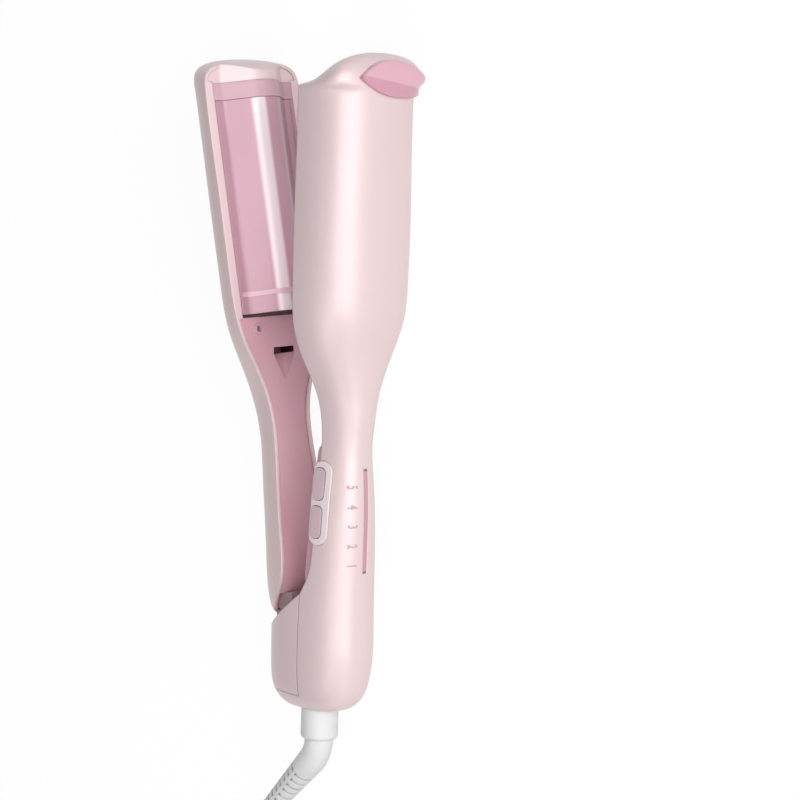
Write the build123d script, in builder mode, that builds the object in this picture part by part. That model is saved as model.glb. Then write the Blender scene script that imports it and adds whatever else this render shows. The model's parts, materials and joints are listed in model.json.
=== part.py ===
from build123d import *
import os
from collections import namedtuple
from functools import lru_cache
from math import cos, pi, radians, sin, tan

# Hair waver with two hinged arms, lying on its side with the arms a little open.
# Working frame, in millimetres: X runs from the base end (0) to the tip, Y points from the
# fixed arm towards the moving arm, Z is up, and Z = 0 is the middle plane of the tool.
# The moving arm is drawn closed and is turned about the hinge when it is written.

# ---- whole tool ----
length = 310.0                  # base end to tip of the fixed arm
wall = 1.8                      # casing wall
fit = 0.15                      # clearance between pieces that are fitted together
open_angle = 13.0               # opening of the moving arm at its stop
section_power = 2.6             # squareness of the superelliptic sections
section_points = 24             # points on each section

# ---- base, the housing of the hinge ----
base_depth = 25.9               # half the size along Y
base_half_width = 17.5          # half the size along Z
base_centre = 4.4               # Y of the middle of the base, and of its seam
base_start = 4.5                # X of the base's end face
base_round = 25.5               # length over which the base end is rounded
base_straight = 46.0            # X at which the base starts to turn into the handle
base_end_shift = 1.5            # the end face sits this much towards the cover
seam_y = 3.0                    # seam between casing and cover
base_end = [(0, 0.56), (0.07, 0.71), (0.19, 0.83), (0.38, 0.925), (0.57, 0.965), (1, 1)]

# ---- handle, neck and head of the fixed arm: X, middle Y, half depth, half width ----
Station = namedtuple("Station", "x centre depth half_width")
grip_x, grip_depth, grip_half_width = 79.0, 22.6, 16.0
neck_x, neck_depth, neck_half_width = 130.0, 19.9, 12.2
head_x, head_depth, head_half_width = 205.0, 28.2, 30.0
jaw_rim, jaw_depth = 0.3, 18.0  # rim plane and depth of the moving jaw, closed
dome_length = 17.0              # rounded tip of the fixed arm
jaw_dome_length = 15.0          # rounded tip of the moving arm
jaw_length = 308.6              # base end to tip of the moving arm, closed
# rounded tips: share of the length, then inner edge, outer edge and half width as shares
dome = [
    (0.29, 0.04, 0.985, 0.977),
    (0.53, 0.28, 0.95, 0.905),
    (0.735, 0.42, 0.89, 0.77),
    (0.894, 0.51, 0.81, 0.54),
    (0.976, 0.56, 0.73, 0.28),
    (1.0, 0.60, 0.68, 0.07),
]
jaw_dome = [
    (0.29, -0.80, 0.985, 0.985),
    (0.53, -0.50, 0.955, 0.935),
    (0.735, -0.18, 0.905, 0.825),
    (0.894, 0.14, 0.83, 0.625),
    (0.976, 0.36, 0.73, 0.37),
    (1.0, 0.48, 0.65, 0.12),
]
arm_end = [(0, 0.78), (0.12, 0.88), (0.3, 0.95), (0.6, 0.99), (1, 1)]

# ---- hinge ----
hinge_x, hinge_y = 24.0, 14.0
pin_radius = 2.0
pin_clearance = 0.05
knuckle_half_width = 8.0
cheek_gap = 0.4                 # between the knuckle and each cheek of the fork
cheek_thickness = 2.0
eye_radius = 6.5

# ---- wave plates ----
barrel_radius = 16.0
barrel_height = 10.8            # crest above the flat beside it
flank_angle = 38.0              # slope of the straight flanks
foot_radius = 5.0               # hollow between flank and flat
plate_gap = 1.2                 # between the plates when the tool is closed
plate_thickness = 2.5
plate_recess = 0.5              # flat of the moving plate below the jaw's rim
plate_half_width = 25.0
plate_flange = 1.6              # turned-in edge of each plate
plate_lip = 0.6
rim_flange = 2.6                # depth of the casing rim beside each plate
plate_start, plate_end = 188.0, 288.0
band_start, band_length, band_raise = 196.0, 2.4, 0.4
cap_raise = 0.5                 # end cap beyond its plate
hood_start = 296.0              # where the casing covers the end of the wave
heater_length, heater_width, heater_thickness = 76.0, 18.0, 2.6
heater_start = 202.0

# ---- buttons ----
button_x, button_length, button_pitch = 103.8, 14.8, 17.6
button_width, button_y = 6.2, -4.9
bezel_length, bezel_width, bezel_y = 38.8, 10.2, -6.0
bezel_raise, button_raise = 0.8, 1.2
button_travel = 0.6
button_clearance = 0.25
board_z, board_thickness = 5.0, 1.6
switch_size, switch_height, plunger_height = 6.0, 2.6, 1.0

# ---- temperature strip ----
strip_start, strip_length, strip_width, strip_z = 71.6, 48.6, 2.4, -0.6
strip_depth = 0.9

# ---- tip grips ----
leaf_low = [(299.5, 17.5), (294.6, 10.5), (291.4, 2.0), (290.2, -8.0), (290.4, -18.0), (292.0, -27.0)]
leaf_high = [(299.5, 17.5), (304.4, 10.0), (306.8, 1.0), (306.2, -9.0), (303.0, -19.0), (298.5, -27.0)]
leaf_raise = 1.9

# ---- cord ----
cord_radius = 3.25
sleeve_radius, sleeve_length = 8.75, 15.0
elbow_radius, elbow_bend, elbow_angle = 6.75, 18.0, 43.0
relief_length, relief_end_radius = 46.0, 4.3
relief_ribs = 9
neck_radius, swivel_clearance = 5.5, 0.05
swivel_gap, flange_thickness = 0.3, 1.9
groove_depth, groove_width = 1.3, 2.0
coil_radius, coil_turn_width, coil_layers = 36.0, 4, 2
coil_x, coil_y = -190.0, 44.0
pin_pitch, plug_pin_radius, plug_pin_length = 18.6, 2.0, 19.0
plug_length, plug_width, plug_height = 32.0, 35.3, 13.7
plug_nose, plug_nose_radius, plug_face_length = 14.0, 5.6, 12.0
plug_past_coil = 18.0           # the lead leaves the coil over this run before the plug's nose
pin_root, pin_root_radius = 6.0, 1.5

lie_height = head_half_width + 0.33  # height of the middle plane above the table
origin_x, origin_y = 125.17, 25.85  # middle of the opened tool, which becomes the origin
dome_start = length - dome_length
floor_y = jaw_rim + plate_recess
hinge_axis = Axis((hinge_x, hinge_y, 0), (0, 0, 1))
stock = 200.0                   # longer than the tool is deep or wide, for cutting

os.makedirs("parts", exist_ok=True)


# ---------------------------------------------------------------- shared shapes
def superellipse(depth, half_width):
    """Points of one closed section."""
    points = []
    for step in range(section_points):
        angle = 2 * pi * step / section_points
        across, along = sin(angle), cos(angle)
        y = depth * abs(along) ** (2 / section_power) * (1 if along >= 0 else -1)
        z = half_width * abs(across) ** (2 / section_power) * (1 if across >= 0 else -1)
        points.append((y, z))
    return points


def across(x, y=0.0):
    """Plane square to the tool at x, its own X along Y and its own Y along Z."""
    return Plane(origin=(x, y, 0), x_dir=(0, 1, 0), z_dir=(1, 0, 0))


def skin(stations):
    """Smooth solid through a list of sections."""
    with BuildPart() as body:
        for station in stations:
            with BuildSketch(across(station.x, station.centre)):
                with BuildLine():
                    Spline(superellipse(station.depth, station.half_width), periodic=True)
                make_face()
        loft()
    return body.part


def rounded_end(profile, start, run, centre, shift, depth, half_width, grow):
    """Stations of the rounded end at a body's low X."""
    return [
        Station(
            start - grow + (run + grow) * share, centre + shift * (1 - share),
            (depth + grow) * size, (half_width + grow) * size,
        )
        for share, size in profile
    ]


def rounded_tip(profile, start, run, centre, side, depth, half_width, grow):
    """Stations of the rounded tip; side is +1 or -1, towards the outer face along Y."""
    full = depth + grow
    stations = []
    for share, inner, outer, width in profile:
        middle = centre + side * full * (inner + outer) / 2
        size = full * (outer - inner) / 2
        stations.append(Station(start + (run + grow) * share, middle, size, (half_width + grow) * width))
    return stations


@lru_cache(maxsize=None)
def fixed_skin(grow=0.0):
    """Outside of the fixed arm with the base, grown or shrunk all round."""
    stations = rounded_end(
        base_end, base_start, base_round, base_centre, base_end_shift, base_depth, base_half_width, grow
    )
    plain = [
        Station(base_straight, base_centre, base_depth, base_half_width),
        Station(grip_x, 1.3, grip_depth, grip_half_width),
        Station(113, 0.4, 20.9, 13.5),
        Station(neck_x, 0.3, neck_depth, neck_half_width),
        Station(142, 0, 20.7, 12.7),
        Station(153, 0, 21.2, 15.0),
        Station(164, 0, 22.2, 19.6),
        Station(176, 0, 24.1, 25.5),
        Station(190, 0, 27.2, 29.2),
        Station(head_x, 0, head_depth, head_half_width),
        Station(250, 0, head_depth, head_half_width),
        Station(dome_start, 0, head_depth, head_half_width),
    ]
    stations += [Station(s.x, s.centre, s.depth + grow, s.half_width + grow) for s in plain]
    stations += rounded_tip(dome, dome_start, dome_length, 0, -1, head_depth, head_half_width, grow)
    return skin(stations)


@lru_cache(maxsize=None)
def moving_skin(grow=0.0):
    """Outside of the closed moving arm, grown or shrunk all round."""
    stations = rounded_end(arm_end, 47.0, 12.0, 2.5, 0.0, 23.2, 16.5, grow)
    plain = [
        Station(grip_x, 1.3, 22.6, grip_half_width),
        Station(113, 0.4, 20.9, 13.5),
        Station(neck_x, 0.3, neck_depth, neck_half_width),
        Station(142, 0.3, 20.0, 12.7),
        Station(153, 0.6, 19.8, 15.4),
        Station(164, 0.5, 19.4, 20.2),
        Station(176, 0.4, 18.5, 26.0),
        Station(190, jaw_rim, jaw_depth + 0.2, 29.4),
        Station(head_x, jaw_rim, jaw_depth, head_half_width),
        Station(250, jaw_rim, jaw_depth, head_half_width),
        Station(jaw_length - jaw_dome_length, jaw_rim, jaw_depth, head_half_width),
    ]
    stations += [Station(s.x, s.centre, s.depth + grow, s.half_width + grow) for s in plain]
    start = jaw_length - jaw_dome_length
    stations += rounded_tip(jaw_dome, start, jaw_dome_length, jaw_rim, 1, jaw_depth, head_half_width, grow)
    return skin(stations)


def side_block(edge, far_y, half=stock / 2):
    """Block bounded by an edge of (x, y) points and a far Y, right through along Z."""
    with BuildPart() as block:
        with BuildSketch(Plane.XY.offset(-half)):
            with BuildLine():
                Polyline((edge[0][0], far_y), edge[0])
                if len(edge) > 2:
                    Spline(edge)
                else:
                    Line(edge[0], edge[1])
                Polyline(edge[-1], (edge[-1][0], far_y), (edge[0][0], far_y))
            make_face()
        extrude(amount=2 * half)
    return block.part


def slab(x0, x1, y0, y1, z0, z1):
    """Plain block between two corners."""
    with BuildPart() as block:
        with BuildSketch(Plane.XY.offset(z0)):
            with Locations(((x0 + x1) / 2, (y0 + y1) / 2)):
                Rectangle(x1 - x0, y1 - y0)
        extrude(amount=z1 - z0)
    return block.part


def wave_edge(rise, half_width):
    """The wave at a rise above the moving plate's face, drawn in the plane of across(x)."""
    slope = radians(flank_angle)
    centre = barrel_height - barrel_radius
    crest = barrel_radius + rise
    hollow = foot_radius - rise
    foot = barrel_radius * sin(slope) + (centre + barrel_radius * cos(slope)) / tan(slope)
    foot_centre = foot + foot_radius * tan(slope / 2)

    def at(w, height):
        return (floor_y - height, w)

    shoulder = (crest * sin(slope), centre + crest * cos(slope))
    ankle = (foot_centre - hollow * sin(slope), foot_radius - hollow * cos(slope))
    arch = (foot_centre - hollow * sin(slope / 2), foot_radius - hollow * cos(slope / 2))
    Line(at(-half_width, rise), at(-foot_centre, rise))
    ThreePointArc(at(-foot_centre, rise), at(-arch[0], arch[1]), at(-ankle[0], ankle[1]))
    Line(at(-ankle[0], ankle[1]), at(-shoulder[0], shoulder[1]))
    ThreePointArc(at(-shoulder[0], shoulder[1]), at(0, centre + crest), at(*shoulder))
    Line(at(*shoulder), at(*ankle))
    ThreePointArc(at(*ankle), at(*arch), at(foot_centre, rise))
    Line(at(foot_centre, rise), at(half_width, rise))


def wave_band(x0, x1, low, high, half_width):
    """Sheet between two rises of the wave."""
    with BuildPart() as sheet:
        with BuildSketch(across(x0)):
            with BuildLine():
                wave_edge(low, half_width)
                wave_edge(high, half_width)
                Line((floor_y - low, -half_width), (floor_y - high, -half_width))
                Line((floor_y - low, half_width), (floor_y - high, half_width))
            make_face()
        extrude(amount=x1 - x0)
    return sheet.part


def wave_block(x0, x1, rise, far_y, half_width):
    """Solid between one rise of the wave and a flat side at far_y."""
    with BuildPart() as block:
        with BuildSketch(across(x0)):
            with BuildLine():
                wave_edge(rise, half_width)
                Polyline(
                    (floor_y - rise, -half_width), (far_y, -half_width),
                    (far_y, half_width), (floor_y - rise, half_width),
                )
            make_face()
        extrude(amount=x1 - x0)
    return block.part


# ---------------------------------------------------------------- edges seen from the side
seam_x = 11.5                   # end of the hinge cover
seam_groove = 0.3
cover_top = [(60.2, seam_y), (37.5, base_centre + base_depth)]
fixed_rim = [
    (60.0, seam_y), (64.5, 0.6), (70.0, -1.8), (80.0, -3.1), (105.0, -3.3), (128.0, -3.7),
    (142.0, -3.7), (153.0, -3.0), (164.0, -1.7), (176.0, -0.6), (192.0, 0.0),
]
platform_edge = [
    (60.5, -4.0), (64.5, 1.0), (73.0, 2.1), (84.0, 1.8), (100.0, 0.9), (124.0, 0.2), (129.0, -1.0), (132.0, -5.0),
]
moving_rim = [
    (48.5, 21.0), (52.0, 16.5), (57.5, 11.5), (63.6, 7.6), (71.0, 5.4), (90.0, 4.6), (110.0, 4.0), (130.0, 3.4),
    (150.0, 2.6), (170.0, 1.2), (192.0, jaw_rim),
]

fixed_outside = fixed_skin()
fixed_inside = fixed_skin(-wall)
fixed_middle = fixed_skin(-wall / 2)
fixed_liner = fixed_skin(-wall - fit)
moving_outside = moving_skin()
moving_inside = moving_skin(-wall)
moving_middle = moving_skin(-wall / 2)
moving_liner = moving_skin(-wall - fit)


def drop(edge, amount):
    """The same edge moved along Y."""
    return [(x, y + amount) for x, y in edge]


def post(x, y0, y1, z, radius):
    """Round pillar along Y."""
    with BuildPart() as pillar:
        with BuildSketch(Plane(origin=(x, y0, z), x_dir=(1, 0, 0), z_dir=(0, 1, 0))):
            Circle(radius)
        extrude(amount=y1 - y0)
    return pillar.part


def upright(x, y, z0, z1, radius):
    """Round pillar along Z."""
    with BuildPart() as pillar:
        with BuildSketch(Plane.XY.offset(z0)):
            with Locations((x, y)):
                Circle(radius)
        extrude(amount=z1 - z0)
    return pillar.part


screw_head, screw_head_radius, shank_share = 1.4, 2.4, 0.55


def screw(x, y, z, side, head_radius=screw_head_radius, shank=6.0):
    """Pan-head screw along Y; side is the way its head faces."""
    with BuildPart() as body:
        with BuildSketch(Plane(origin=(x, y, z), x_dir=(1, 0, 0), z_dir=(0, side, 0))):
            Circle(head_radius)
        extrude(amount=screw_head)
        fillet(body.faces().sort_by(Axis.Y)[-1 if side > 0 else 0].edges(), 0.6)
        with BuildSketch(Plane(origin=(x, y, z), x_dir=(1, 0, 0), z_dir=(0, -side, 0))):
            Circle(head_radius * shank_share)
        extrude(amount=shank)
        top = y + side * screw_head
        with BuildSketch(Plane(origin=(x, top, z), x_dir=(1, 0, 0), z_dir=(0, -side, 0))):
            Rectangle(head_radius * 1.2, 0.6)
            Rectangle(0.6, head_radius * 1.2)
        extrude(amount=0.8, mode=Mode.SUBTRACT)
    return body.part


def outline_block(x, y, run, breadth, corner, z0, z1):
    """Round-cornered block standing along Z."""
    with BuildPart() as block:
        with BuildSketch(Plane.XY.offset(z0)):
            with Locations((x, y)):
                RectangleRounded(run, breadth, corner)
        extrude(amount=z1 - z0)
    return block.part


def rim_rail(side, rim, depth):
    """Thick edge of a casing beside its plate."""
    edge = plate_half_width + fit
    z0, z1 = (edge, 60) if side > 0 else (-60, -edge)
    return slab(plate_start - 2, hood_start + 1, min(rim, rim + depth), max(rim, rim + depth), z0, z1)


# ---------------------------------------------------------------- fixed arm, casing
fixed_side = side_block([(-20.0, seam_y)] + [fixed_rim[0]], -stock / 2)
fixed_side += side_block(fixed_rim, -stock / 2)
fixed_side += side_block([(fixed_rim[-1][0], 0.0), (length + 20, 0.0)], -stock / 2)
base_cup = slab(-20, seam_x, -60, 60, -60, 60)
board_ribs = [66.0, 118.0]
clamp_reach, clamp_post_reach = 9.5, 5.5
clamp_posts = [heater_start - clamp_post_reach, heater_start + heater_length + clamp_post_reach]
crest_back = floor_y - barrel_height - plate_gap - plate_thickness
clamp_y = crest_back - heater_thickness
clamp_thickness = 2.0
socket_radius = 7.0
bezel_cut = outline_block(button_x, bezel_y, bezel_length, bezel_width, 5.0, 7.0, 40)
strip_cut = slab(
    strip_start, strip_start + strip_length, -60, 0, strip_z - strip_width / 2, strip_z + strip_width / 2
)
frame_floor = -12.4
liner_wall = 1.8

# ---------------------------------------------------------------- screws
with BuildPart() as cover_screws:
    for place in (-1, 1):
        add(screw(38.0, frame_floor + 2, 5.0 * place, 1, head_radius=2.2, shank=4.5))

liner_drop = 1.2                # liner below the casing's rim beyond the platform
liner_screws = {138.0: -5.9, 172.0: -2.3}  # X of each screw, Y of the liner's face there
with BuildPart() as handle_screws:
    for place, face_y in liner_screws.items():
        add(screw(place, face_y - screw_head, 0, 1, shank=4))

with BuildPart() as main_clamp_screws:
    for post_x in clamp_posts:
        add(screw(post_x, clamp_y, 0, 1, head_radius=1.8, shank=5.0))

# ribs under the control board, then pillars under the heater clamp, the liner and the hinge frame
fixed_supports = [slab(rib_x - 1, rib_x + 1, -60, -8.2, -60, board_z) & fixed_middle for rib_x in board_ribs]
for post_x in clamp_posts:
    fixed_supports.append(post(post_x, -60, clamp_y - clamp_thickness, 0, 3.0) & fixed_middle)
for post_x, face_y in liner_screws.items():
    fixed_supports.append(post(post_x, -60, face_y - liner_wall - 0.4, 0, 3.0) & fixed_middle)
for side in (-1, 1):
    fixed_supports.append(post(38.0, -60, frame_floor, 5.0 * side, 2.8) & fixed_middle)

with BuildPart() as main_outer_shell:
    add(fixed_outside)
    add(fixed_inside, mode=Mode.SUBTRACT)
    for side in (-1, 1):
        add(rim_rail(side, 0.0, -rim_flange) & fixed_middle)
    add(fixed_side + base_cup, mode=Mode.INTERSECT)
    # the tip wall gives way to the moving arm's wave
    add(wave_block(hood_start - 4, length + 5, plate_gap, stock / 4, plate_half_width), mode=Mode.SUBTRACT)
    hood = wave_block(hood_start, length + 5, plate_gap, -13.0, stock / 4) & fixed_outside
    add(hood)
    add(fixed_supports)
    add(bezel_cut, mode=Mode.SUBTRACT)
    add(strip_cut & (fixed_outside - fixed_skin(-strip_depth)), mode=Mode.SUBTRACT)
    with BuildSketch(across(base_start - 5, base_centre)):
        Circle(socket_radius)
    extrude(amount=5 + wall + 1, mode=Mode.SUBTRACT)
    add([cover_screws.part, handle_screws.part, main_clamp_screws.part], mode=Mode.SUBTRACT)

# inner face of the handle, proud of the casing between base and neck
platform_end = plate_start - 2 - fit
liner_edge = drop([p for p in fixed_rim if 132.0 <= p[0] <= 180.0], -liner_drop)
platform_line = platform_edge + liner_edge + [(platform_end, -1.5)]
with BuildPart() as main_inner_shell:
    add(fixed_liner)
    add(side_block(platform_line, -stock / 2), mode=Mode.INTERSECT)
    add(side_block(drop(platform_line, -liner_wall), -stock / 2) & fixed_skin(-wall - fit - 1.5), mode=Mode.SUBTRACT)
    add(side_block(drop(platform_line, -8.0), -stock / 2), mode=Mode.SUBTRACT)
    add(bezel_cut, mode=Mode.SUBTRACT)
    for place, face_y in liner_screws.items():
        add(post(place, face_y - screw_head, face_y + 2, 0, screw_head_radius), mode=Mode.SUBTRACT)
        add(post(place, face_y - 8, face_y, 0, screw_head_radius * shank_share), mode=Mode.SUBTRACT)

# ---------------------------------------------------------------- hinge housing
cover_floor = slab(seam_x + fit, 65, seam_y, 60, -60, 60)


def below_cover_top(inset):
    """Everything on the base side of the cover's slanted top."""
    (x0, y0), (x1, y1) = cover_top
    with BuildPart() as block:
        with BuildSketch(Plane.XY.offset(-60)):
            with BuildLine():
                Polyline(
                    (-30, y0), (x0 - inset, y0), (x1 - inset, y1), (x1 - inset - 4, 70), (-30, 70), close=True
                )
            make_face()
        extrude(amount=120)
    return block.part


knuckle_y0, knuckle_y1 = 8.0, 19.5
skirt_start, skirt_half_width = 37.5, 10.0
with BuildPart() as base_cover:
    add(fixed_outside)
    add(cover_floor, mode=Mode.INTERSECT)
    add(below_cover_top(0), mode=Mode.INTERSECT)
    add(fixed_inside & below_cover_top(wall), mode=Mode.SUBTRACT)
    # shadow line along the seam, half as deep as the wall
    groove = slab(seam_x, 65, seam_y, seam_y + seam_groove, -60, 60)
    add(groove & (fixed_outside - fixed_middle), mode=Mode.SUBTRACT)
    slot_half = skirt_half_width + 0.6
    add(slab(30, 65, knuckle_y0 - 1.2, knuckle_y1 + 6.1, -slot_half, slot_half), mode=Mode.SUBTRACT)

cheek_inner = knuckle_half_width + cheek_gap
cheek_outer = cheek_inner + cheek_thickness
with BuildPart() as hinge_frame:
    for side in (-1, 1):
        z0 = side * cheek_inner if side > 0 else -cheek_outer
        add(slab(hinge_x - 9, hinge_x + 9, frame_floor, hinge_y, z0, z0 + cheek_thickness))
        add(upright(hinge_x, hinge_y, z0, z0 + cheek_thickness, 9.0))
    add(slab(hinge_x - 9, hinge_x + 19, frame_floor, frame_floor + 2, -cheek_outer, cheek_outer))
    add(cover_screws.part, mode=Mode.SUBTRACT)
    with Locations((hinge_x, hinge_y)):
        Hole(pin_radius)

with BuildPart() as hinge_pin:
    with BuildSketch(Plane.XY.offset(-cheek_outer - 1.2)):
        with Locations((hinge_x, hinge_y)):
            Circle(pin_radius)
    extrude(amount=2 * cheek_outer + 2.4)
    chamfer(hinge_pin.edges().group_by(Axis.Z)[-1], 0.4)
    chamfer(hinge_pin.edges().group_by(Axis.Z)[0], 0.4)

# torsion spring: coils round the pin beside the knuckle's eye, one leg on each arm
spring_wire = 0.7
spring_radius = pin_radius + spring_wire
spring_turns = 4
with BuildPart() as hinge_spring:
    spring_length = spring_turns * (2 * spring_wire + 0.25)
    spring_z = -spring_length / 2
    with BuildLine():
        Helix(pitch=spring_length / spring_turns, height=spring_length, radius=spring_radius,
              center=(hinge_x, hinge_y, spring_z))
    with BuildSketch(Plane(origin=(hinge_x + spring_radius, hinge_y, spring_z), z_dir=(0, 1, 0.06))):
        Circle(spring_wire)
    sweep(is_frenet=True)

# ---------------------------------------------------------------- fixed arm, working parts
socket_length = 4.9
with BuildPart() as cord_socket:
    with BuildSketch(across(base_start + 0.1, base_centre)):
        Circle(socket_radius)
    extrude(amount=socket_length)
    with BuildSketch(across(base_start + wall, base_centre)):
        Circle(socket_radius + 0.8)
    extrude(amount=socket_length + 0.1 - wall)
    with BuildSketch(across(base_start, base_centre)):
        Circle(neck_radius + swivel_clearance)
    extrude(amount=socket_length + 1, mode=Mode.SUBTRACT)


def plate(low, high, flange_low, flange_high):
    """Wave plate with an edge turned along each side."""
    with BuildPart() as body:
        add(wave_band(plate_start, plate_end, low, high, plate_half_width))
        for side in (-1, 1):
            z0 = min(side * plate_half_width, side * (plate_half_width - plate_flange))
            add(slab(plate_start, plate_end, floor_y - flange_high, floor_y - flange_low, z0, z0 + plate_flange))
    return body.part


def end_cap(near, far_y, liner, x1):
    """Heat-resistant end above a plate, with the same wave."""
    return wave_block(plate_end + fit, x1, near, far_y, plate_half_width) & liner


with BuildPart() as main_wave_plate:
    add(plate(plate_gap, plate_gap + plate_thickness, plate_gap, plate_gap + 6.0))

with BuildPart() as main_plate_band:
    add(wave_band(band_start, band_start + band_length, plate_gap - band_raise, plate_gap, plate_half_width))

with BuildPart() as main_tip_cap:
    add(end_cap(plate_gap + cap_raise, -17.5, fixed_liner, hood_start))

heater_x = heater_start + heater_length / 2
with BuildPart() as main_heater:
    add(slab(heater_start, heater_start + heater_length, crest_back - heater_thickness, crest_back,
             -heater_width / 2, heater_width / 2))
    fillet(main_heater.edges().filter_by(Axis.X), 0.5)

with BuildPart() as main_heater_clamp:
    clamp_x0 = heater_start - clamp_reach
    clamp_x1 = heater_start + heater_length + clamp_reach
    add(slab(clamp_x0, clamp_x1, clamp_y - clamp_thickness, clamp_y, -13, 13))
    add(slab(clamp_x0, clamp_x1, clamp_y, crest_back - 1, -13, -11.5))
    add(slab(clamp_x0, clamp_x1, clamp_y, crest_back - 1, 11.5, 13))
    add(main_clamp_screws.part, mode=Mode.SUBTRACT)

with BuildPart() as thermal_fuse:
    with BuildSketch(across(heater_x - 9, clamp_y - clamp_thickness - 2.0)):
        Circle(2.0)
    extrude(amount=18)
    with BuildSketch(across(heater_x - 16, clamp_y - clamp_thickness - 2.0)):
        Circle(0.45)
    extrude(amount=32)

board_x0, board_x1 = board_ribs[0] - 1, board_ribs[1] + 1
with BuildPart() as control_board:
    board = slab(board_x0, board_x1, -16.5, -1.7, board_z, board_z + board_thickness)
    add(board & fixed_skin(-wall - 0.6))

button_places = [button_x + button_pitch / 2, button_x - button_pitch / 2]
board_top = board_z + board_thickness
with BuildPart() as button_switches:
    for place in button_places:
        add(slab(place - switch_size / 2, place + switch_size / 2, button_y - 0.6 - switch_size / 2,
                 button_y - 0.6 + switch_size / 2, board_top, board_top + switch_height))
        add(upright(place, button_y - 0.6, board_top + switch_height,
                    board_top + switch_height + plunger_height, 1.7))

with BuildPart() as board_parts:
    add(slab(72, 82, -12.5, -7.5, board_top, board_top + 3.5))
    add(upright(103.8, -9.8, board_top, board_top + 2.5, 2.4))
    add(upright(117.0, -10.5, board_top, board_top + 2.3, 1.6))
    add(slab(86, 98, -15.0, -10.0, board_z - 4.2, board_z))

bezel_top = fixed_skin(bezel_raise)
with BuildPart() as button_bezel:
    add(outline_block(button_x, bezel_y, bezel_length, bezel_width, 5.0, 9.5, 40) & bezel_top)
    for place in button_places:
        hole = outline_block(place, button_y, button_length + 2 * button_clearance,
                             button_width + 2 * button_clearance, 2.6, 5, 45)
        add(hole, mode=Mode.SUBTRACT)

button_bottom = board_top + switch_height + plunger_height + button_travel + 0.15


def button(place):
    """Push button that follows the handle's side, with a foot over its switch."""
    with BuildPart() as body:
        add(outline_block(place, button_y, button_length, button_width, 2.4, button_bottom + 1.2, 45)
            & fixed_skin(button_raise))
        add(upright(place, button_y - 0.6, button_bottom, button_bottom + 1.3, 2.2))
    return body.part


with BuildPart() as power_button:
    add(button(button_places[0]))

with BuildPart() as temperature_button:
    add(button(button_places[1]))

with BuildPart() as scale_window:
    bar = slab(strip_start, strip_start + strip_length, -60, 0,
               strip_z - strip_width / 2, strip_z + strip_width / 2)
    add(bar & (fixed_outside - fixed_skin(-strip_depth)))


def leaf(skin_of, side, tip_shift, outside):
    """Raised leaf-shaped grip on the outer side of a tip, pointed on the upper side."""
    with BuildPart() as body:
        with BuildSketch(Plane(origin=(tip_shift, 0, 0), x_dir=(1, 0, 0), z_dir=(0, -1, 0))):
            with BuildLine():
                Spline(leaf_low)
                Spline(leaf_high)
                Line(leaf_low[-1], leaf_high[-1])
            make_face()
        extrude(amount=-60 * side)
    start = 4.0
    cut = slab(200, 340, -start, 60, -60, 60) if side < 0 else slab(200, 340, -60, start, -60, 60)
    pieces = (body.part & skin_of(leaf_raise)) - outside - cut
    return pieces.solids().sort_by(SortBy.VOLUME)[-1]


with BuildPart() as main_tip_grip:
    add(leaf(fixed_skin, -1, 0.0, fixed_outside))

# ---------------------------------------------------------------- moving arm (drawn closed)
moving_side = side_block(moving_rim, stock / 2)
moving_side += side_block([(moving_rim[-1][0], jaw_rim), (jaw_length + 20, jaw_rim)], stock / 2)
arm_posts = [heater_start + 10, heater_start + heater_length - 10]
arm_clamp_y = floor_y + plate_thickness + 2.2
boss_x, boss_y, boss_z, boss_end = 181.0, 1.0, 15.0, 8.0
with BuildPart() as arm_screws:
    for place in (-1, 1):
        add(screw(boss_x, boss_y + 2.4, boss_z * place, -1, head_radius=1.35, shank=7.6))

# pillars on the heater clamp, behind the liner's bosses and on the knuckle
arm_supports = [post(post_x, arm_clamp_y, 60, 0, 3.0) & moving_middle for post_x in arm_posts]
for side in (-1, 1):
    arm_supports.append(post(boss_x, boss_end, 60, boss_z * side, 2.6) & moving_middle)
    arm_supports.append(post(62.0, knuckle_y1, 60, 4.5 * side, 2.6) & moving_middle)

with BuildPart() as arm_outer_shell:
    add(moving_outside)
    add(moving_inside, mode=Mode.SUBTRACT)
    add(moving_side, mode=Mode.INTERSECT)
    for side in (-1, 1):
        add(rim_rail(side, jaw_rim, rim_flange) & moving_middle)
    hood = wave_block(hood_start, jaw_length + 5, 0.0, 14.0, stock / 4) & moving_outside
    add(hood)
    add(arm_supports)
    add(arm_screws.part, mode=Mode.SUBTRACT)

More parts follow.
